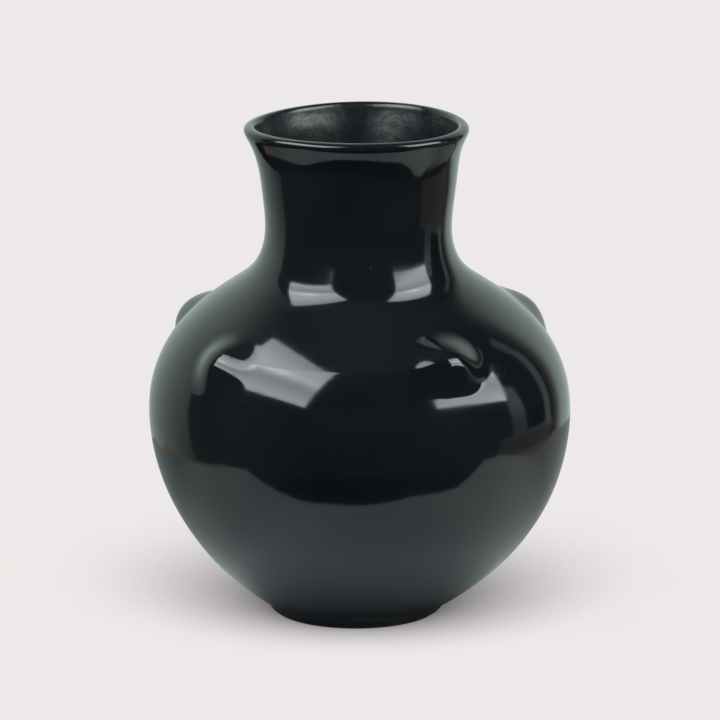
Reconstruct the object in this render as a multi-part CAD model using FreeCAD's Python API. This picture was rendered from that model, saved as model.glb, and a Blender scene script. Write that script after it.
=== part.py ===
"""Round-bellied black clay pot with a tall flared neck and four bosses on its shoulder.

The pot is built up by hand on a low foot: a base disc, five courses of wall, two of neck and a rim coil are luted
one on another with sloping scarf seams, and four modelled bosses are luted on the shoulder. Each of those pieces
of clay is one solid here. Neighbours share their seam face exactly, as luted clay does.

Frame: millimetres, +Z up, origin at the centre of the foot on the surface that the pot stands on, front towards -Y.
"""

import FreeCAD, Part  # FreeCAD has to be loaded before Part

import math
import os

Vector = FreeCAD.Vector

# Driving dimensions
HEIGHT = 261.5  # to the crest of the lip
FOOT_RADIUS = 46.5  # in the crease on top of the foot
FOOT_CONTACT = 43.0  # where the foot's side meets the table
FOOT_HEIGHT = 5.0
FOOT_BORE = 36.0  # radius of the opening inside the foot ring
FOOT_EDGE = 1.2  # rounding of the foot's two lower edges
RECESS = 3.0  # how far the base disc stands clear of the table
CREST_RADIUS = 54.5
FLOOR_HEIGHT = 15.0  # the flat floor inside

# Outline poles of cubic splines, as (radius, height). The outside runs from the foot up to the lip's crest.
OUTSIDE = [
    (FOOT_RADIUS, FOOT_HEIGHT),
    (67.4, 17.5),
    (91.8, 43.4),
    (108.8, 79.9),
    (113.2, 120.7),
    (97.5, 153.8),
    (70.2, 174.2),
    (53.7, 183.7),
    (47.3, 202.5),
    (50.5, 225.0),
    (53.5, 250.6),
    (60.6, 259.4),
    (57.0, HEIGHT),
    (CREST_RADIUS, HEIGHT),
]
# The inside runs from the crest down to the middle of the floor. The wall is 4.5 mm thick at the neck, 5.5 mm at
# the belly and 7 mm near the foot.
INSIDE = [
    (CREST_RADIUS, HEIGHT),
    (52.8, HEIGHT),
    (52.6, 258.0),
    (49.3, 249.3),
    (45.9, 225.7),
    (42.9, 202.5),
    (49.7, 181.0),
    (68.2, 169.5),
    (93.2, 150.9),
    (107.9, 120.6),
    (102.9, 77.1),
    (79.4, 37.1),
    (61.5, 23.4),
    (48.0, FLOOR_HEIGHT),
    (25.0, FLOOR_HEIGHT),
    (0.0, FLOOR_HEIGHT),
]

# The seam on top of each course of clay: its height on the outside, and the degrees that it slopes down towards
# the inside from the straight way through the wall
SEAMS = {
    "base_disc": (FOOT_HEIGHT + 3.0, 0.0),
    "lower_wall": (39.5, 40.0),
    "lower_belly": (76.5, 40.0),
    "upper_belly": (116.5, 40.0),
    "lower_shoulder": (153.5, 20.0),
    "upper_shoulder": (179.5, 30.0),
    "lower_neck": (210.5, 40.0),
    "upper_neck": (244.5, 40.0),
}
SEAM_INSIDE = 12.0  # how far a cut along a seam runs inwards and outwards from the wall's outside
SEAM_OUTSIDE = 2.0

# Bosses: low bumps on the shoulder, each with a skirt that runs out on the wall. For each, the azimuth in degrees
# from the front, positive to the right as the front is seen; the height of its tip's point on the wall; its rise
# above the wall; and how far its skirt reaches to the sides, up and down.
BOSSES = {
    "boss_front_left": (-46.0, 147.5, 6.5, 24.0, 24.0, 24.0),
    "boss_front_right": (28.5, 151.0, 8.0, 28.0, 26.0, 18.0),
    "boss_back_right": (121.0, 144.5, 10.0, 27.0, 37.0, 38.0),
    "boss_back_left": (234.0, 139.0, 14.0, 30.0, 37.0, 27.0),
}
BOSS_FALL = 3  # power of the fall from the tip to the skirt's edge
BOSS_SINK = 0.3  # how far a boss is pressed in, so that its skirt ends on the wall with an edge
BOSS_MARGIN = 1.05  # how far a boss's blank runs beyond its skirt
BOSS_SPANS = 20  # of the grid that its skin is drawn through
BOSS_ROOT = 24.0  # depth of the blank, before the wall is cut from it


def spline(poles):
    """Clamped cubic spline with even knots over (radius, height) poles, in the XZ plane."""
    spans = len(poles) - 3
    curve = Part.BSplineCurve()
    curve.buildFromPolesMultsKnots(
        [Vector(radius, 0, height) for radius, height in poles],
        [4] + [1] * (spans - 1) + [4],
        [float(knot) for knot in range(spans + 1)],
        False,
        3,
    )
    return curve


def point(radius, height):
    return Vector(radius, 0, height)


def face(corners, *curves):
    """Flat face in the XZ plane: the curves in order, then straight edges through the corners back to the start."""
    edges = [curve.toShape() for curve in curves]
    path = list(corners)
    if curves:
        path = [curves[-1].EndPoint] + path + [curves[0].StartPoint]
    else:
        path.append(path[0])
    for start, end in zip(path, path[1:]):
        edges.append(Part.LineSegment(start, end).toShape())
    return Part.Face(Part.Wire(edges))


def turned(section):
    """Solid of revolution about Z."""
    return section.revolve(Vector(0, 0, 0), Vector(0, 0, 1), 360)


OUTER = spline(OUTSIDE)
INNER = spline(INSIDE)


def step_at(height):
    """Parameter of the outer outline at a height of the body or neck."""
    low, high = OUTER.FirstParameter, OUTER.LastParameter
    for _ in range(60):
        middle = (low + high) / 2
        if OUTER.value(middle).z < height:
            low = middle
        else:
            high = middle
    return low


def on_outside(step):
    """Point of the outer outline at a parameter, and its outward normal."""
    along = OUTER.tangent(step)[0]
    return OUTER.value(step), Vector(along.z, 0, -along.x)


def seam(height, scarf):
    """A seam's ends, clear of the wall inside and outside it."""
    outside, normal = on_outside(step_at(height))
    angle = math.atan2(normal.z, normal.x) + math.radians(scarf)
    across = Vector(math.cos(angle), 0, math.sin(angle))
    return outside - across * SEAM_INSIDE, outside + across * SEAM_OUTSIDE


def wall_section():
    """The whole pot's wall and floor above the foot ring, with the plug that the ring fits round."""
    return face(
        [point(0, RECESS), point(FOOT_BORE, RECESS), point(FOOT_BORE, FOOT_HEIGHT)],
        OUTER,
        INNER,
    )


def courses():
    """The wall's courses, cut apart along the scarf seams, as {name: solid}."""
    wall = wall_section()
    clear = 2 * FOOT_RADIUS + 30.0  # a radius outside the whole pot
    below = [point(0, RECESS - 1), point(clear, RECESS - 1)]
    made = {}
    for name, (height, scarf) in SEAMS.items():
        inner_end, outer_end = seam(height, scarf)
        above = [point(0, inner_end.z), inner_end, outer_end, point(clear, outer_end.z)]
        made[name] = turned(wall.common(face(below + above[::-1])).Faces[0])
        below = above
    above = [point(0, HEIGHT + 1), point(clear, HEIGHT + 1)]
    made["rim_coil"] = turned(wall.common(face(below + above[::-1])).Faces[0])
    return made


def foot_ring():
    """Coil under the base disc, round its plug. It widens upwards to the crease, and its lower edges are rounded."""
    side = spline(
        [
            (FOOT_CONTACT, 0.0),
            (FOOT_CONTACT + 1.9, 0.32 * FOOT_HEIGHT),
            (FOOT_RADIUS, 0.68 * FOOT_HEIGHT),
            (FOOT_RADIUS, FOOT_HEIGHT),
        ]
    )
    ring = turned(face([point(FOOT_BORE, FOOT_HEIGHT), point(FOOT_BORE, 0)], side))
    lower_edges = [edge for edge in ring.Edges if edge.BoundBox.ZMax < 0.01 and edge.Closed]
    return ring.makeFillet(FOOT_EDGE, lower_edges)


def along_outside(start, distance):
    """Parameter of the outer outline at a distance up it from another parameter."""
    return OUTER.parameterAtDistance(distance, start)


def boss_stand(rise, sides, up, down, across, rising):
    """How far a boss stands above the wall, at a place to the side of its tip and up the wall from it."""
    out = math.hypot(across, rising)
    if out == 0:
        return rise
    upward = rising / out
    reach = sides + ((up if upward > 0 else down) - sides) * upward**2
    return rise * max(0.0, 1 - (out / reach) ** 2) ** BOSS_FALL


def boss_blank(middle, rise, sides, up, down):
    """A boss on the +X side: a block under its skin, which follows the wall's outside."""
    start = step_at(middle)
    rows = []
    for i in range(BOSS_SPANS + 1):
        rising = BOSS_MARGIN * (-down + (up + down) * i / BOSS_SPANS)
        outside, normal = on_outside(along_outside(start, rising))
        row = []
        for j in range(BOSS_SPANS + 1):
            across = BOSS_MARGIN * sides * (2 * j / BOSS_SPANS - 1)
            stand = boss_stand(rise, sides, up, down, across, rising) - BOSS_SINK
            place = outside + normal * stand
            turn = across / outside.x
            row.append(Vector(place.x * math.cos(turn), place.x * math.sin(turn), place.z))
        rows.append(row)
    skin = Part.BSplineSurface()
    skin.interpolate(rows)
    return skin.toShape().extrude(on_outside(start)[1] * -BOSS_ROOT)


def bosses():
    """The four bosses, each cut back to the outside of the wall, as {name: solid}."""
    envelope = turned(face([point(0, HEIGHT), point(0, FOOT_HEIGHT)], OUTER))
    envelope.rotate(Vector(0, 0, 0), Vector(0, 0, 1), 180)  # takes its own seam to the far side from the boss
    made = {}
    for name, (azimuth, *shape) in BOSSES.items():
        pieces = boss_blank(*shape).cut(envelope).Solids
        boss = max(pieces, key=lambda piece: piece.Volume)
        boss.rotate(Vector(0, 0, 0), Vector(0, 0, 1), azimuth - 90)
        made[name] = boss
    return made


def main():
    os.makedirs("parts", exist_ok=True)
    made = {"foot_ring": foot_ring()}
    made.update(courses())
    made.update(bosses())
    for name, shape in made.items():
        solid = shape if shape.ShapeType == "Solid" else shape.Solids[0]
        print(f"{name}: valid {solid.isValid()}, {solid.Volume / 1000:.1f} cm3, solids {len(shape.Solids)}")
        solid.exportStep(f"parts/{name}.step")


main()
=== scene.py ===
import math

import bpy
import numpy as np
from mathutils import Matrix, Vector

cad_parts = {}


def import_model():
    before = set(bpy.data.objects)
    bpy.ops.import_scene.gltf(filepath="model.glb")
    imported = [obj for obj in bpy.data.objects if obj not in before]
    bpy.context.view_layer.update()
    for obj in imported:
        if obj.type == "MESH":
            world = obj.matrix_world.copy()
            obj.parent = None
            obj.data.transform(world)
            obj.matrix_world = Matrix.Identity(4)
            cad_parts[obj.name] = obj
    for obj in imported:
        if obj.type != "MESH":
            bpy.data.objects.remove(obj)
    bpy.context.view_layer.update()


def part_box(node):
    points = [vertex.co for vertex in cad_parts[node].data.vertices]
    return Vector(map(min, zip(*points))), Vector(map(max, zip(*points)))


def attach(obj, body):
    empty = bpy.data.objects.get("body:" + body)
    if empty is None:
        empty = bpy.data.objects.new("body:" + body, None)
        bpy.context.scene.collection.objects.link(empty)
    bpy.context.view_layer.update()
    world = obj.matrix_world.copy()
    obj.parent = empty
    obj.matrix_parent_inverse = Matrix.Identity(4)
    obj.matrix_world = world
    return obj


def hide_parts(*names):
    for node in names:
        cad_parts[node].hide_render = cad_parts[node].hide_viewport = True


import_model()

# Looks of a burnished black clay pot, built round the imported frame. Lengths are metres in the frame's own
# axes, +Z up and the front towards -Y, except where a name or a comment says millimetres. An azimuth is in
# degrees from the front, positive to the right as the front is seen.
#
# Each CAD node is replaced by one closed mesh. All of them are cut from the same two surfaces, the pot's
# outside and its inside, so that the luting seams don't show, as they don't after burnishing.

MM = 0.001

# --------------------------------------------------------------------------------------------------
# Shape
# --------------------------------------------------------------------------------------------------

# Poles of the outlines, (radius, height) in millimetres, as in the CAD part
OUTSIDE = [
    (46.5, 5.0),
    (67.4, 17.5),
    (91.8, 43.4),
    (108.8, 79.9),
    (113.2, 120.7),
    (97.5, 153.8),
    (70.2, 174.2),
    (53.7, 183.7),
    (47.3, 202.5),
    (50.5, 225.0),
    (53.5, 250.6),
    (60.6, 259.4),
    (57.0, 261.5),
    (54.5, 261.5),
]
INSIDE = [
    (54.5, 261.5),
    (52.8, 261.5),
    (52.6, 258.0),
    (49.3, 249.3),
    (45.9, 225.7),
    (42.9, 202.5),
    (49.7, 181.0),
    (68.2, 169.5),
    (93.2, 150.9),
    (107.9, 120.6),
    (102.9, 77.1),
    (79.4, 37.1),
    (61.5, 23.4),
    (48.0, 15.0),
    (25.0, 15.0),
    (0.0, 15.0),
]
# The courses of the wall, from the base up
COURSES = [
    "base_disc",
    "lower_wall",
    "lower_belly",
    "upper_belly",
    "lower_shoulder",
    "upper_shoulder",
    "lower_neck",
    "upper_neck",
    "rim_coil",
]
TURNS = 384  # faces round the pot
OUTER_STEP = 1.2 * MM  # between rows of faces
INNER_STEP = 2.4 * MM
LIP_STEP = 0.8 * MM  # on the inside near the lip
LIP_DEPTH = 20 * MM  # how far down the inside that is
LOOK = 0.05 * MM  # the step that slopes are measured over
LOOK_ROUND = 0.001  # the same round the pot, in radians
FOOT_BORE = 36.0 * MM  # radii and heights of the foot, as in the CAD part
FOOT_CONTACT = 43.0 * MM
FOOT_HEIGHT = 5.0 * MM
FOOT_RADIUS = OUTSIDE[0][0] * MM
FOOT_EDGE = 1.2 * MM
FOOT_TAPER = 1.6  # power of the curve of its side
FOOT_ROWS = (0.35, 0.5, 0.65, 0.8, 0.9, 1.0)  # rows of points up its side, as shares of its height
RECESS = 3.0 * MM

# How far the hand-built pot leans to the right at a height, as (height, lean) in millimetres
LEAN = [
    (0.0, -1.7),
    (20.0, -0.3),
    (45.0, 1.1),
    (80.0, 0.5),
    (130.0, 0.3),
    (190.0, -0.5),
    (225.0, -0.1),
    (250.0, -0.3),
    (265.0, -0.8),
]
# How far its front stands out from the round, as (height, swell) in millimetres
SWELL = [
    (151.5, 0.0),
    (165.5, -1.9),
    (173.5, -2.6),
    (181.5, 1.2),
    (189.5, 4.6),
    (197.5, 4.3),
    (207.5, 3.1),
    (219.5, 1.3),
    (231.5, -0.3),
    (241.5, -0.9),
    (249.5, -0.8),
    (255.5, -0.6),
    (263.5, -0.5),
]


def ratio(above, below):
    """A share of a knot span, or nothing where the span is empty."""
    return above / below if below > 0 else 0 * above


class Outline:
    """Clamped cubic spline with even knots. Points on it are found by arc length."""

    def __init__(self, poles):
        self.poles = np.array(poles, float) * MM
        self.spans = len(poles) - 3
        self.knots = [0.0] * 3 + [float(k) for k in range(self.spans + 1)] + [float(self.spans)] * 3
        self.steps = np.linspace(0, self.spans, 8001)
        self.points = self.at_step(self.steps)
        runs = np.hypot(*np.diff(self.points, axis=0).T)
        self.reached = np.concatenate([[0], np.cumsum(runs)])
        self.length = float(self.reached[-1])

    def at_step(self, step):
        """Points at spline parameters, by the Cox-de Boor recursion."""
        step = np.clip(step, 0, self.spans - 1e-9)
        k = self.knots
        basis = [((step >= low) & (step < high)).astype(float) for low, high in zip(k, k[1:])]
        for d in (1, 2, 3):
            basis = [
                ratio(step - k[i], k[i + d] - k[i]) * basis[i]
                + ratio(k[i + d + 1] - step, k[i + d + 1] - k[i + 1]) * basis[i + 1]
                for i in range(len(basis) - 1)
            ]
        return np.stack(basis, -1) @ self.poles

    def at(self, reach):
        return self.at_step(np.interp(reach, self.reached, self.steps))

    def reach_at(self, height):
        """Arc length at a height. An outline of the pot runs one way in height."""
        order = 1 if self.points[-1, 1] > self.points[0, 1] else -1
        return float(np.interp(height, self.points[::order, 1], self.reached[::order]))


OUTER = Outline(OUTSIDE)
INNER = Outline(INSIDE)
LEAN_LINE = Outline(LEAN)
SWELL_LINE = Outline(SWELL)


def smooth(share):
    share = np.clip(share, 0, 1)
    return share * share * (3 - 2 * share)


def compass(azimuth):
    """Turn anticlockwise from +X, in radians, of an azimuth."""
    return math.radians(azimuth - 90)


# The lip is neither round nor level. It waves out and up by these amounts, with crests at these azimuths.
LIP_START = 232 * MM  # the height that the waves grow from
LIP_GROWTH = 24 * MM  # and how far up they take to grow
LIP_EGG = 1.4 * MM
LIP_EGG_AT = compass(-70)
LIP_OVAL = 0.1 * MM
LIP_OVAL_AT = compass(86)
LIP_DIP = 0.5 * MM
LIP_DIP_AT = compass(39)
LIP_SADDLE = -0.1 * MM
LIP_SADDLE_AT = compass(42)


def ripples():
    """Low waves left by the hands, as (size, waves round the pot, turn per metre of height, phase)."""
    draw = np.random.default_rng(11)
    made = []
    for waves in (2, 3, 4, 5, 6, 7, 8, 9, 11, 13):
        for _ in range(2):
            rise = draw.uniform(-95, 95)
            size = draw.uniform(0.3, 1.0) * 0.2 * MM / waves
            made.append((size, waves, rise, draw.uniform(0, 2 * math.pi)))
    return made


RIPPLES = ripples()
CALM = 40 * MM  # all of the unevenness fades out over this distance to the axis and to the ground
GROUND = -4 * MM  # the height where it has gone, a little under the foot


def hand(x, y, z):
    """The unevenness of hand building: where a point of the true round pot lies on this one."""
    turn = np.arctan2(y, x)
    radius = np.hypot(x, y)
    lip = smooth((z - LIP_START) / LIP_GROWTH)
    out = lip * (LIP_EGG * np.cos(3 * (turn - LIP_EGG_AT)) + LIP_OVAL * np.cos(2 * (turn - LIP_OVAL_AT)))
    for size, waves, rise, phase in RIPPLES:
        out = out + size * np.cos(waves * turn + rise * z + phase)
    front = np.clip(-y / np.maximum(radius, 1e-6), 0, 1)
    out = out + front**2 * np.interp(z, *SWELL_LINE.points.T)
    out = out * smooth(radius / CALM) * smooth((z - GROUND) / CALM)
    lean = np.interp(z, *LEAN_LINE.points.T)
    dip = lip * (LIP_DIP * np.cos(turn - LIP_DIP_AT) + LIP_SADDLE * np.cos(2 * (turn - LIP_SADDLE_AT)))
    scale = 1 + out / np.maximum(radius, MM)
    return np.stack([x * scale + lean, y * scale, z + dip], -1)


def surface(outline, reach, turn):
    """Points of an outline turned about Z, uneven as the hand left them."""
    radius, height = np.moveaxis(outline.at(reach), -1, 0)
    radius, height, turn = np.broadcast_arrays(radius, height, turn)
    return hand(radius * np.cos(turn), radius * np.sin(turn), height)


def unit(vectors):
    return vectors / np.maximum(np.linalg.norm(vectors, axis=-1, keepdims=True), 1e-12)


def outward(outline, reach, turn):
    """Unit normals out of the clay on a turned outline."""
    around = surface(outline, reach, turn + LOOK_ROUND) - surface(outline, reach, turn - LOOK_ROUND)
    low = np.clip(reach - LOOK, 0, outline.length)
    high = np.clip(reach + LOOK, 0, outline.length)
    along = surface(outline, high, turn) - surface(outline, low, turn)
    return unit(np.cross(around, along))


ROUND = np.arange(TURNS) * 2 * math.pi / TURNS


def rows(start, end, step):
    count = max(2, round(abs(end - start) / step) + 1)
    return np.linspace(start, end, count)


def turned_strip(outline, start, end, step):
    """Rows of points and normals on a turned outline between two arc lengths."""
    reach = rows(start, end, step)[:, None]
    return surface(outline, reach, ROUND[None, :]), outward(outline, reach, ROUND[None, :])


def flat_strip(points):
    """A strip through given rows of points, with the normals of its own faces."""
    around = np.roll(points, -1, axis=1) - np.roll(points, 1, axis=1)
    along = np.gradient(points, axis=0)
    return points, unit(np.cross(around, along))


def bridge(first, last, count=2):
    """A strip straight across from one row of points to another."""
    share = np.linspace(0, 1, count)[:, None, None]
    return flat_strip(first[None] * (1 - share) + last[None] * share)


def ring(radius, height):
    """A row of points round the pot at a radius and height of the section."""
    return hand(radius * np.cos(ROUND), radius * np.sin(ROUND), height + 0 * ROUND)


def section_strip(section):
    """A strip through (radius, height) points."""
    return flat_strip(np.stack([ring(radius, height) for radius, height in section]))


def joined(first, after):
    """The rows of one strip after its first, up to the row that it shares with the strip after it."""
    return np.concatenate([first[1:-1], np.maximum(first[-1:], after[:1])])


def shell(name, strips, glosses, poles=False):
    """Closed mesh of strips, each (points, normals) in rows all round, that run on from one to the next.

    The last strip ends where the first begins, or with poles=True both ends are a single point. glosses
    holds each strip's burnish, one value or one for each row, which the mesh keeps as an attribute.
    """
    burnish = [np.broadcast_to(np.reshape(g, (-1, 1)), p.shape[:2]) for (p, _), g in zip(strips, glosses)]
    points = np.concatenate([p[:-1] for p, _ in strips] + [strips[-1][0][-1:]])
    middles = [joined(a, b) for a, b in zip(burnish, burnish[1:])]
    burnish = np.concatenate([burnish[0][:1], *middles, burnish[-1][1:]])
    index = np.arange(points.shape[0] * points.shape[1]).reshape(points.shape[:2])
    index[0] = index[0, 0] if poles else index[0]
    index[-1] = index[-1, 0] if poles else index[0]

    def corners(grid):
        return np.stack([grid[:-1], np.roll(grid[:-1], -1, 1), np.roll(grid[1:], -1, 1), grid[1:]], 2)

    faces = corners(index).reshape(-1, 4)
    shades = np.concatenate([corners(normals) for _, normals in strips]).reshape(-1, 4, 3)
    single = faces != np.roll(faces, 1, axis=1)  # a face at a pole has one corner twice
    used, numbers = np.unique(faces, return_inverse=True)
    faces = numbers.reshape(faces.shape)
    mesh = bpy.data.meshes.new(name)
    faces = [face[one].tolist() for face, one in zip(faces, single)]
    mesh.from_pydata(points.reshape(-1, 3)[used], [], faces)
    mesh.polygons.foreach_set("use_smooth", [True] * len(mesh.polygons))
    kept = burnish.ravel()[used].astype(np.float32)
    mesh.attributes.new("burnish", "FLOAT", "POINT").data.foreach_set("value", kept)
    mesh.update()
    mesh.normals_split_custom_set(shades[single])
    piece = bpy.data.objects.new(name, mesh)
    bpy.context.scene.collection.objects.link(piece)
    return piece


def keep(piece, node, material):
    """The piece stands for its node and wears a material."""
    piece.data.materials.append(material)
    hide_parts(node)
    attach(piece, "root")


# The luting seams, read from the frame: (height outside, height inside) of the seam on top of a course. Each
# slopes down to the inside, apart from the one on top of the base, which slopes up to it.
def seam_above(lower, upper):
    top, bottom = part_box(lower)[1].z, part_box(upper)[0].z
    return (bottom, top) if lower == "base_disc" else (top, bottom)


SEAMS = [seam_above(lower, upper) for lower, upper in zip(COURSES, COURSES[1:])]

# The burnish goes over the lip, and fades into the smoothed clay of the inside
BURNISH_EDGE = 0.5 * MM
BURNISH_FADE = 3.0 * MM


def inner_burnish(reach):
    return 1 - smooth((reach - BURNISH_EDGE) / BURNISH_FADE)


def inner_strip(start, end):
    step = LIP_STEP if min(start, end) < LIP_DEPTH else INNER_STEP
    strip = turned_strip(INNER, start, end, step)
    return strip, inner_burnish(rows(start, end, step))


def course(number):
    """A course of the wall between the seam below it and the one above it."""
    outside_low, inside_low = SEAMS[number - 1]
    low, inner_low = OUTER.reach_at(outside_low), INNER.reach_at(inside_low)
    if number < len(SEAMS):
        outside_high, inside_high = SEAMS[number]
        high, inner_high = OUTER.reach_at(outside_high), INNER.reach_at(inside_high)
    else:
        high, inner_high = OUTER.length, 0.0
    outer = turned_strip(OUTER, low, high, OUTER_STEP)
    inner, inner_gloss = inner_strip(inner_high, inner_low)
    strips, glosses = [outer], [1.0]
    if number < len(SEAMS):
        strips.append(bridge(outer[0][-1], inner[0][0]))
        glosses.append(0.0)
    strips += [inner, bridge(inner[0][-1], outer[0][0])]
    glosses += [inner_gloss, 0.0]
    return shell(COURSES[number], strips, glosses)


def arc(centre, radius, start, end):
    """Five (radius, height) points of an arc in the section, between two angles in degrees."""
    angles = np.radians(np.linspace(start, end, 5))
    return [(centre[0] + radius * math.cos(a), centre[1] + radius * math.sin(a)) for a in angles]


def foot_ring():
    bore, edge, top = FOOT_BORE, FOOT_EDGE, FOOT_HEIGHT
    inner_edge = arc((bore + edge, edge), edge, 180, 270)
    outer_edge = arc((FOOT_CONTACT - edge, edge), edge, 270, 325)
    spread_out = FOOT_RADIUS - FOOT_CONTACT
    side = [(FOOT_RADIUS - spread_out * (1 - share) ** FOOT_TAPER, top * share) for share in FOOT_ROWS]
    lower = section_strip(inner_edge + outer_edge + side)
    roof = bridge(lower[0][-1], ring(bore, top))
    wall = bridge(roof[0][-1], lower[0][0])
    return shell("foot_ring", [lower, roof, wall], [0.5, 0.0, 0.0])


def base_disc():
    outside, inside = SEAMS[0]
    middle = 0.01 * MM  # radius of the unseen holes at the axis
    under = section_strip([(max(FOOT_BORE * third / 3, middle), RECESS) for third in range(4)])
    plug = section_strip([(FOOT_BORE, RECESS), (FOOT_BORE, FOOT_HEIGHT)])
    ledge = section_strip([(FOOT_BORE, FOOT_HEIGHT), (FOOT_RADIUS, FOOT_HEIGHT)])
    outer = turned_strip(OUTER, 0.0, OUTER.reach_at(outside), OUTER_STEP / 2)
    floor_from = INNER.reach_at(inside)
    inner = turned_strip(INNER, floor_from, INNER.length - middle, INNER_STEP)
    rim = bridge(outer[0][-1], inner[0][0])
    glosses = [0.1, 0.1, 0.1, 1.0, 0.0, 0.0]
    return shell("base_disc", [under, plug, ledge, outer, rim, inner], glosses, poles=True)


# --------------------------------------------------------------------------------------------------
# Bosses
# --------------------------------------------------------------------------------------------------

BOSS_RINGS = 64
BOSS_SPOKES = 160
BOSS_FALL = 3  # power of the curve from a boss's tip to the wall
BOSS_TIP = 0.02  # slopes nearer than this to the tip, as a share of the skirt, are taken here
BOSS_LOOK = 0.002  # the step that a boss's slopes are measured over, as a share of its skirt
BOSS_SUNK = 1.2 * MM  # depth of a boss's root in the wall
# node: (azimuth, height of its tip on the wall, rise above the wall, reach of its skirt to the sides, up and
# down), the lengths in millimetres
BOSSES = {
    "boss_front_left": (-46.0, 147.5, 6.2, 24.0, 24.0, 24.0),
    "boss_front_right": (28.5, 151.0, 8.0, 28.0, 26.0, 18.0),
    "boss_back_right": (121.0, 144.5, 10.0, 27.0, 37.0, 38.0),
    "boss_back_left": (234.0, 139.0, 14.0, 30.0, 37.0, 27.0),
}


def skirt(sides, up, down, turn):
    """How far a boss's skirt reaches, at a turn round its tip from the upward way."""
    upward = np.cos(turn)
    return sides + np.where(upward > 0, up - sides, down - sides) * upward**2


def boss_point(azimuth, middle, rise, spread, share, turn):
    """Point of a boss's outside, at a share of the way out from its tip to the edge of its skirt."""
    out = share * skirt(*spread, turn)
    reach = OUTER.reach_at(middle) + out * np.cos(turn)
    around = compass(azimuth) + out * np.sin(turn) / OUTER.at(reach)[..., 0]
    stand = rise * (1 - np.clip(share, 0, 1) ** 2) ** BOSS_FALL
    return surface(OUTER, reach, around) + outward(OUTER, reach, around) * stand[..., None]


def boss(node):
    azimuth, *lengths = BOSSES[node]
    middle, rise, *spread = [length * MM for length in lengths]
    spokes = np.arange(BOSS_SPOKES) * 2 * math.pi / BOSS_SPOKES
    share, turn = np.meshgrid(np.linspace(0, 1, BOSS_RINGS), spokes, indexing="ij")

    def top(share, turn):
        return boss_point(azimuth, middle, rise, spread, share, turn)

    points = top(share, turn)
    beside = np.maximum(share, BOSS_TIP)
    around = top(beside, turn + BOSS_LOOK / beside) - top(beside, turn - BOSS_LOOK / beside)
    along = top(beside + BOSS_LOOK, turn) - top(beside - BOSS_LOOK, turn)
    normals = unit(np.cross(around, along))
    normals[0] = unit(normals[0].mean(0))
    sunk_rim = points[-1] - normals[-1] * BOSS_SUNK
    centre = points[0, 0] - normals[0, 0] * (rise + BOSS_SUNK)
    edge = bridge(points[-1], sunk_rim)
    root = bridge(sunk_rim, centre + (sunk_rim - centre) * 0.001, 8)
    return shell(node, [(points, normals), edge, root], [1.0, 0.0, 0.0], poles=True)


# --------------------------------------------------------------------------------------------------
# Materials
# --------------------------------------------------------------------------------------------------


class Material:
    """A material's node tree, with nodes added one call each."""

    def __init__(self, name):
        self.material = bpy.data.materials.new(name)
        self.material.use_nodes = True
        self.tree = self.material.node_tree
        self.tree.nodes.clear()

    def add(self, kind, inputs=None, output=0, **settings):
        """Adds a node, links or sets its inputs by name or number, and returns one of its outputs."""
        node = self.tree.nodes.new("ShaderNode" + kind)
        for name, value in settings.items():
            setattr(node, name, value)
        for key, value in (inputs or {}).items():
            socket = node.inputs[key]
            if isinstance(value, bpy.types.NodeSocket):
                self.tree.links.new(value, socket)
            else:
                socket.default_value = value
        return node.outputs[output] if len(node.outputs) else node

    def math(self, operation, *values):
        return self.add("Math", dict(enumerate(values)), operation=operation)

    def mix(self, share, low, high):
        """A number between low and high."""
        return self.add("Mix", {"Factor": share, "A": low, "B": high}, data_type="FLOAT")

    def blend(self, share, low, high):
        """A colour between low and high."""
        return self.add("Mix", {"Factor": share, 6: low, 7: high}, output=2, data_type="RGBA")

    def remap(self, value, from_low, from_high, to_low=0.0, to_high=1.0):
        return self.add("MapRange", {0: value, 1: from_low, 2: from_high, 3: to_low, 4: to_high})

    def noise(self, where, scale, detail=2.0, roughness=0.5, stretch=(1.0, 1.0, 1.0)):
        placed = self.add("Mapping", {"Vector": where, "Scale": stretch})
        inputs = {"Vector": placed, "Scale": scale, "Detail": detail, "Roughness": roughness}
        return self.add("TexNoise", inputs)

    def clay(self, colour, roughness, bump):
        """Ends the tree in the fired clay's own shader."""
        inputs = {"Base Color": colour, "Roughness": roughness, "Normal": bump, "IOR": 1.5}
        self.add("OutputMaterial", {"Surface": self.add("BsdfPrincipled", inputs)})
        return self.material


BLACK = (0.0038, 0.0056, 0.0068, 1.0)
SOOT = (0.0062, 0.0078, 0.0086, 1.0)
RUBBED = (0.016, 0.017, 0.018, 1.0)
DUST = (0.05, 0.055, 0.06, 1.0)
DUST_CELLS = 150.0


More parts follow.
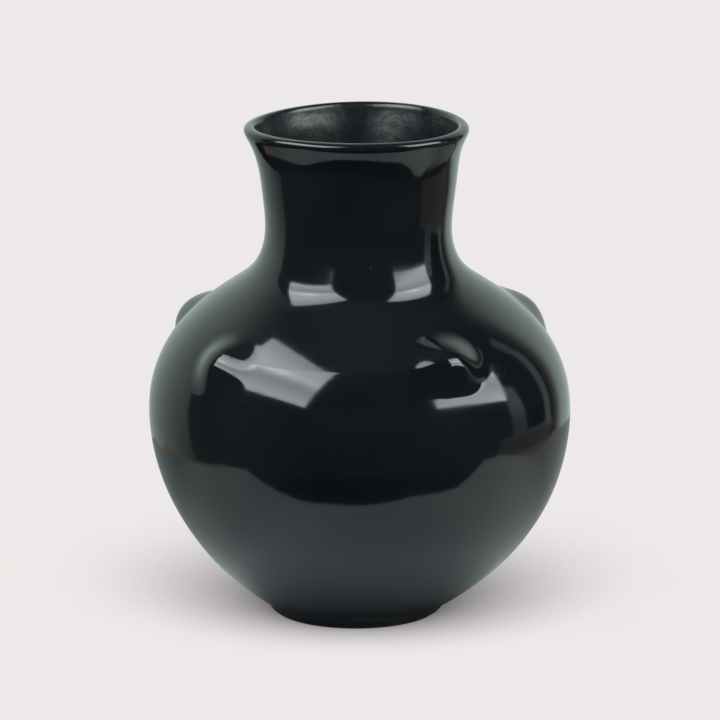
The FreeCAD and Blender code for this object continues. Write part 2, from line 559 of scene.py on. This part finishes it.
def burnished_clay():
    """Smoke-blackened clay: a mirror outside, half matt inside, with the marks of the burnishing stone."""
    m = Material("burnished_clay")
    where = m.add("TexCoord", output="Object")
    burnish = m.add("Attribute", output="Fac", attribute_name="burnish")
    cloud = m.noise(where, 22.0, 4.0, 0.55)
    streaks = m.noise(where, 16.0, 3.0, 0.6, (1.0, 1.0, 26.0))
    grain = m.noise(where, 900.0, 2.0, 0.6)
    colour = m.blend(m.remap(cloud, 0.35, 0.68), BLACK, SOOT)
    dust = m.add("TexVoronoi", {"Vector": where, "Scale": DUST_CELLS}, output="Distance")
    chance = m.add("TexVoronoi", {"Vector": where, "Scale": DUST_CELLS}, output="Color")
    speck = m.math("MULTIPLY", m.math("LESS_THAN", dust, 0.045), m.math("GREATER_THAN", chance, 0.62))
    colour = m.blend(speck, colour, DUST)
    gloss = m.remap(streaks, 0.3, 0.75, 0.07, 0.13)
    matt = m.remap(cloud, 0.4, 0.6, 0.22, 0.4)
    roughness = m.mix(burnish, matt, gloss)
    # heights in millimetres
    stroke = m.math("MULTIPLY", m.remap(streaks, 0.2, 0.8), m.mix(burnish, 0.03, 0.004))
    dimple = m.math("MULTIPLY", m.noise(where, 75.0, 3.5, 0.55), m.mix(burnish, 0.65, 0.006))
    fine = m.math("MULTIPLY", grain, m.mix(burnish, 0.02, 0.0006))
    height = m.math("ADD", m.math("ADD", stroke, dimple), fine)
    bump = m.add("Bump", {"Height": height, "Distance": MM, "Strength": 1.0})
    return m.clay(colour, roughness, bump)


def plain_clay():
    """The same clay, smoothed but not burnished, rubbed a little paler on the foot."""
    m = Material("plain_clay")
    where = m.add("TexCoord", output="Object")
    burnish = m.add("Attribute", output="Fac", attribute_name="burnish")
    cloud = m.noise(where, 60.0, 5.0, 0.6)
    grain = m.noise(where, 700.0, 3.0, 0.6)
    colour = m.blend(m.remap(cloud, 0.3, 0.75), BLACK, RUBBED)
    roughness = m.mix(burnish, m.remap(cloud, 0.3, 0.7, 0.5, 0.7), 0.12)
    height = m.math("ADD", m.math("MULTIPLY", grain, 0.03), m.math("MULTIPLY", cloud, 0.1))
    bump = m.add("Bump", {"Height": m.math("MULTIPLY", height, m.mix(burnish, 1.0, 0.05)), "Distance": MM})
    return m.clay(colour, roughness, bump)


# --------------------------------------------------------------------------------------------------
# Studio
# --------------------------------------------------------------------------------------------------

PALE = (0.8469, 0.8148, 0.8069)  # the floor's own brightness, seen by the camera
DULL_WHITE = (0.94, 0.97, 1.0)
COOL_WHITE = (0.93, 1.0, 1.02)
GREEN_WHITE = (0.83, 1.0, 0.93)
SKY = (0.62, 0.82, 1.0)
# painted light of the lit wooden table, which glows though it is no lamp
WOOD_PAINTED_LIGHT = (0.40, 0.30, 0.17)
ROOM_DARK = (0.03, 0.04, 0.045)
HEART = Vector((0, 0, 0.13))  # the point that the panels stand round
NEAR, MIDDLE, FAR = 1.6, 1.8, 2.4  # their distances from it


def towards(azimuth, elevation):
    """Unit vector of an azimuth and an elevation."""
    azimuth, elevation = math.radians(azimuth), math.radians(elevation)
    level = math.cos(elevation)
    return Vector((math.sin(azimuth) * level, -math.cos(azimuth) * level, math.sin(elevation)))


def hidden_from(piece, camera=False, glossy=False, shadow=False):
    """Hides a stage piece from some kinds of rays."""
    piece.visible_camera = not camera
    piece.visible_glossy = not glossy
    piece.visible_shadow = not shadow


def glow_material():
    m = Material("panel_glow")
    glow = m.add("Attribute", output="Color", attribute_name="glow")
    m.add("OutputMaterial", {"Surface": m.add("Emission", {"Color": glow, "Strength": 1.0})})
    return m.material


GLOW = glow_material()


def glowing(name, grid, glows):
    """A stage piece through a grid of points, with a radiance for each. Only reflections see it."""
    down, across = len(grid), len(grid[0])
    faces = [
        (j * across + i, j * across + i + 1, (j + 1) * across + i + 1, (j + 1) * across + i)
        for j in range(down - 1)
        for i in range(across - 1)
    ]
    mesh = bpy.data.meshes.new(name)
    mesh.from_pydata([point for row in grid for point in row], [], faces)
    colours = [(*glow, 1.0) for row in glows for glow in row]
    mesh.attributes.new("glow", "FLOAT_COLOR", "POINT").data.foreach_set("color", np.ravel(colours))
    mesh.materials.append(GLOW)
    piece = bpy.data.objects.new(name, mesh)
    bpy.context.scene.collection.objects.link(piece)
    hidden_from(piece, camera=True, shadow=True)


def amid(corners, u, v):
    """The place a share u across and v up between low left, low right, high right and high left corners."""
    low_left, low_right, high_right, high_left = corners
    low = low_left * (1 - u) + low_right * u
    high = high_left * (1 - u) + high_right * u
    return low * (1 - v) + high * v


def panel(name, corners, distance, glow, cells=(12, 12), flat=False):
    """A lit panel across four (azimuth, elevation) corners: low left, low right, high right, high left.

    glow(u, v) is its radiance, as (red, green, blue), across and up it from 0 to 1. It curves round the pot
    unless flat.
    """
    across, up = cells
    shares = [[(i / across, j / up) for i in range(across + 1)] for j in range(up + 1)]
    if flat:
        ends = [towards(*corner) for corner in corners]
        spots = [[amid(ends, u, v) for u, v in row] for row in shares]
    else:
        ends = [np.array(corner, float) for corner in corners]
        spots = [[towards(*amid(ends, u, v)) for u, v in row] for row in shares]
    grid = [[HEART + spot * distance for spot in row] for row in spots]
    glowing(name, grid, [[glow(u, v) for u, v in row] for row in shares])


def tint(colour, strength):
    return tuple(strength * part for part in colour)


def softbox_glow(u, v):
    """White cloth, with the lamp's brighter streak across its middle."""
    band = math.exp(-(((v - 0.5) / 0.07) ** 2)) * (0.35 + 0.65 * math.exp(-(((u - 0.45) / 0.18) ** 2)))
    return tint(COOL_WHITE, 6.0 + 1.2 * math.cos(3 * math.pi * v) + 7.0 * band)


def tent_left_glow(u, v):
    """Brighter upwards and away to the left, fading out at the top."""
    rise = 0.5 + 0.35 * float(smooth(v / 0.45))
    return tint(GREEN_WHITE, (rise - 0.3 * u**3) * (1 - 0.9 * float(smooth((v - 0.6) / 0.4))))


def tent_right_glow(u, v):
    """Dim and brownish at its near edge."""
    near = float(smooth((u - 0.03) / 0.25))
    strength = (0.1 + 0.9 * near) * (0.9 - 0.2 * u) * (1 - 0.9 * float(smooth((v - 0.5) / 0.5)))
    return tint((1.1 - 0.27 * near, 1.0, 0.98 - 0.05 * near), strength)


def stripe_glow(u, v):
    return tint(DULL_WHITE, 0.3 + 0.45 * float(smooth((v - 0.2) / 0.5)))


def shelf_glow(u, v):
    """Painted light of a brown shelf, with a pale top edge."""
    top = float(smooth((v - 0.8) / 0.1))
    return (0.19 + 0.03 * top, 0.145 + 0.07 * top, 0.125 + 0.09 * top)


# painted light of the ceiling, bluish and brighter towards the top
def ceiling_glow(u, v):
    return tint(SKY, 0.02 + 0.12 * float(smooth(v)))


def strip_glow(u, v):
    return tint(DULL_WHITE, 0.4)


# painted shade: the dim, unlit room in front of the pot
def room_glow(u, v):
    return ROOM_DARK


def panels():
    left = [(-87, 26), (-32.2, 26), (-18, 60), (-110, 59)]
    right = [(45, 24), (88, 14), (100, 48), (48, 64)]
    panel("softbox_left", left, NEAR, softbox_glow, (24, 24), flat=True)
    panel("softbox_right", right, NEAR, softbox_glow, (24, 24), flat=True)
    panel("tent_left", [(-180, -25), (-102, -25), (-110, 64), (-180, 64)], MIDDLE, tent_left_glow, (12, 24))
    panel("tent_right", [(127, -25), (180, -25), (180, 60), (127, 60)], MIDDLE, tent_right_glow, (24, 24))
    panel("strip_right", [(118, -12), (124, -12), (124, 40), (118, 40)], MIDDLE, strip_glow)
    panel("stripe_right", [(89, -10), (101, -12), (97, 19), (87, 23)], MIDDLE, stripe_glow, (4, 12))
    panel("shelf_right", [(80, -26), (126, -24), (126, -9.5), (80, -9.5)], MIDDLE, shelf_glow)
    panel("ceiling", [(-180, 50), (180, 50), (180, 89), (-180, 89)], FAR, ceiling_glow, (24, 10))
    panel("room_front", [(-105, -25), (88, -25), (88, 27), (-105, 27)], FAR, room_glow, (24, 6))


FLOOR_REACH = 12.0
SHADOW_REACH = 0.2  # how far from the pot the floor is in its shadow
SHADOW_LEAN = 0.8  # how far the light comes from the front
SHADOW_STEPS = (0.22, 0.79, 0.08)  # open sky where it is darkest and where it ends, and its darkest light


def floor_material():
    """A floor that glows evenly apart from the pot's soft shadow, and can't be seen from below."""
    m = Material("floor_pale")
    lean = m.add("CombineXYZ", {"X": 0.0, "Y": -SHADOW_LEAN, "Z": 1.0})
    open_sky = m.add("AmbientOcclusion", {"Distance": SHADOW_REACH, "Normal": lean}, output="AO", samples=16)
    low, high, darkest = SHADOW_STEPS
    lit = m.add("Emission", {"Color": (*PALE, 1.0), "Strength": m.remap(open_sky, low, high, darkest, 1.0)})
    below = m.add("NewGeometry", output="Backfacing")
    unseen = m.add("BsdfTransparent")
    m.add("OutputMaterial", {"Surface": m.add("MixShader", {0: below, 1: lit, 2: unseen})})
    return m.material


# Corners of the white board that the pot stands on, (x, y) in millimetres from the pot's axis: from the
# middle of its round back, down its straight left side, and on round. Its front and right edges are uneven.
BOARD = [
    (0, 450),
    (-235, 280),
    (-306, 70),
    (-299, -140),
    (-275, -185),
    (-88, -187),
    (-38, -198),
    (85, -200),
    (168, -168),
    (350, -178),
    (400, -120),
    (335, 25),
    (345, 90),
    (403, 232),
    (295, 352),
    (155, 428),
]
BOARD_RAYS = 16  # rays from its middle to each side of its outline
BOARD_STEPS = 60  # points along each
BOARD_MIDDLE = 20.0  # radius of the unseen hole that they start from, in millimetres
BOARD_HEIGHT = -0.5 * MM
# Strips of the wooden table beside the board, glowing with painted light, as (left, right, front, back) in
# millimetres
TABLE = {"ochre_left": (-325, -200, -130, 200), "ochre_right": (300, 400, -30, 200)}
TABLE_HEIGHT = -4 * MM


def painted_board_light(x, y):
    """Painted light of a white board lit from the front and above, with the pot's painted shadow round its
    foot and behind it.
    """
    away = math.hypot(x, y)
    front = -y / max(away, 1e-6)
    # the painted shadow's soft edge starts under the foot, and is widest in front and on the right
    width = 0.045 + 0.026 * float(smooth(front / 0.8)) + 0.02 * float(smooth(x / 0.06)) * (1 - abs(front))
    shadow = float(smooth((away - 0.041) / width))
    behind = 0.45 + 0.55 * float(smooth((0.10 - y) / 0.16))
    # painted light: a little brighter at the front left, and dimmer at the left side than at the right
    patch = 0.13 * math.exp(-((x + 0.07) ** 2 + (y + 0.14) ** 2) / 0.05**2)
    right = float(smooth((x - 0.05) / 0.1))
    left = float(smooth((-x - 0.08) / 0.05)) * float(smooth((y + 0.12) / 0.06))
    strength = 0.012 + shadow * behind * (0.73 + patch + 0.1 * right - 0.1 * left)
    # the painted light is bluish in front, warmer to the sides
    side = float(smooth((0.75 - front) / 0.6))
    return tint((0.90 + 0.05 * right - 0.06 * side, 1.0, 1.07 - 0.06 * right - 0.09 * side), strength)


def between(first, last, count):
    return [first + (last - first) * i / (count - 1) for i in range(count)]


def board():
    """The board, as rays from its middle to points along its edge."""
    edge = [BOARD[0]]
    for (x, y), (next_x, next_y) in zip(BOARD, BOARD[1:] + BOARD[:1]):
        side = list(zip(between(x, next_x, BOARD_RAYS), between(y, next_y, BOARD_RAYS)))
        edge += side[1:]
    rays = []
    for x, y in edge:
        start = BOARD_MIDDLE / math.hypot(x, y)
        shares = between(start, 1, BOARD_STEPS)
        rays.append([(x * share * MM, y * share * MM, BOARD_HEIGHT) for share in shares])
    glowing("board", rays, [[painted_board_light(x, y) for x, y, _ in ray] for ray in rays])


def table():
    for name, sides in TABLE.items():
        left, right, front, back = [side * MM for side in sides]
        grid = [[(x, y, TABLE_HEIGHT) for x in between(left, right, 3)] for y in between(front, back, 4)]
        # the strips glow with painted light of the lit wood
        glowing(name, grid, [[WOOD_PAINTED_LIGHT for _ in row] for row in grid])


def floor():
    """The pale floor that the camera sees."""
    mesh = bpy.data.meshes.new("floor")
    corners = [(x * FLOOR_REACH, y * FLOOR_REACH, 0) for x, y in ((-1, -1), (1, -1), (1, 1), (-1, 1))]
    mesh.from_pydata(corners, [], [(0, 1, 2, 3)])
    mesh.materials.append(floor_material())
    piece = bpy.data.objects.new("floor", mesh)
    bpy.context.scene.collection.objects.link(piece)
    hidden_from(piece, glossy=True, shadow=True)


CAMERA_DISTANCE = 4.0
CAMERA_ELEVATION = 13.8
CAMERA_TARGET = Vector((0.0005, 0, 0.1344))
CAMERA_LENS = 381.4


def camera():
    data = bpy.data.cameras.new("camera")
    data.lens = CAMERA_LENS
    data.sensor_width = 36.0
    data.clip_start, data.clip_end = 0.05, 60.0
    eye = bpy.data.objects.new("camera", data)
    bpy.context.scene.collection.objects.link(eye)
    back = towards(0, CAMERA_ELEVATION)
    eye.location = CAMERA_TARGET + back * CAMERA_DISTANCE
    eye.rotation_mode = "QUATERNION"
    eye.rotation_quaternion = back.to_track_quat("Z", "Y")
    bpy.context.scene.camera = eye


def world():
    made = bpy.data.worlds.new("room")
    made.use_nodes = True
    made.node_tree.nodes["Background"].inputs["Color"].default_value = (*PALE, 1.0)
    made.cycles_visibility.glossy = False
    made.cycles_visibility.diffuse = False
    bpy.context.scene.world = made


def main():
    camera()
    world()
    floor()
    board()
    table()
    panels()
    bpy.context.scene.view_settings.view_transform = "Standard"
    burnished, plain = burnished_clay(), plain_clay()
    keep(foot_ring(), "foot_ring", plain)
    keep(base_disc(), "base_disc", plain)
    for number in range(1, len(COURSES)):
        keep(course(number), COURSES[number], burnished)
    for node in BOSSES:
        keep(boss(node), node, burnished)


main()
